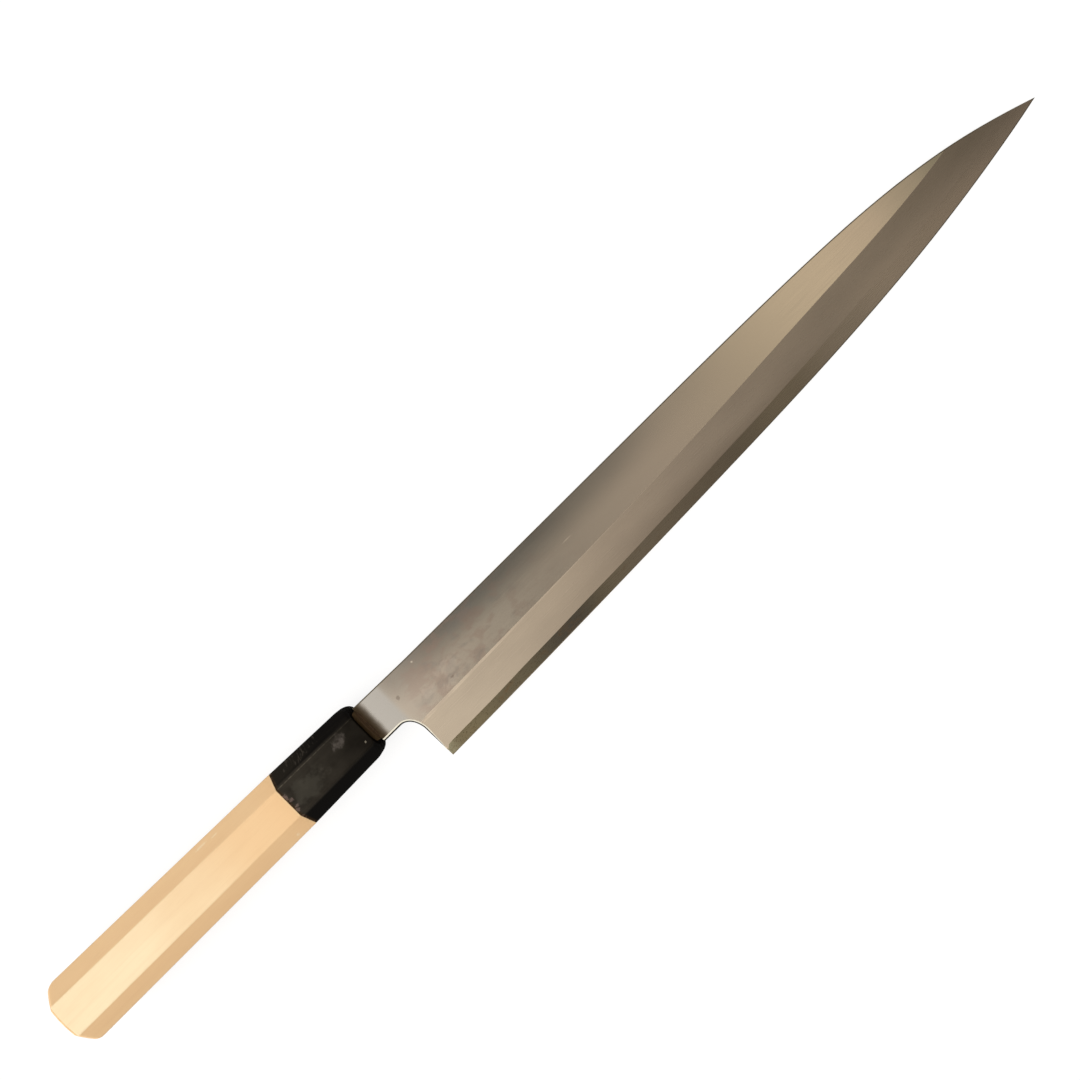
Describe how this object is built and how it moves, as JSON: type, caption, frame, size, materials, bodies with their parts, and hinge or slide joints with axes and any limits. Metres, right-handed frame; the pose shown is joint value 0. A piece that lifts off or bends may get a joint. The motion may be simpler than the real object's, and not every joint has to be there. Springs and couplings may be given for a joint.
{
  "type": "single-bevel slicing knife",
  "caption": "Long narrow single-bevel slicing knife: forge-welded blade with a hollow-ground back, hidden tang, octagonal wooden handle and dark horn ferrule.",
  "frame": {"origin": "middle of the knife's box, on the surface that it lies on", "axes": "+X from the handle to the tip, +Y from the edge to the spine, +Z out of the bevelled front face"},
  "size_m": [0.4508, 0.0414, 0.0215],
  "materials": {
    "soft_iron": "satin ground, warm grey with faint patina",
    "cutting_steel": "stone polished, darker than the iron",
    "black_horn": "polished black horn",
    "magnolia_wood": "bare, finely sanded",
    "dark_resin": "dark brown poured resin"
  },
  "bodies": {
    "root": {"blade_iron_body": "soft_iron", "blade_cutting_steel": "cutting_steel", "horn_ferrule": "black_horn", "magnolia_handle": "magnolia_wood", "tang_seal": "dark_resin"}
  },
  "joints": []
}
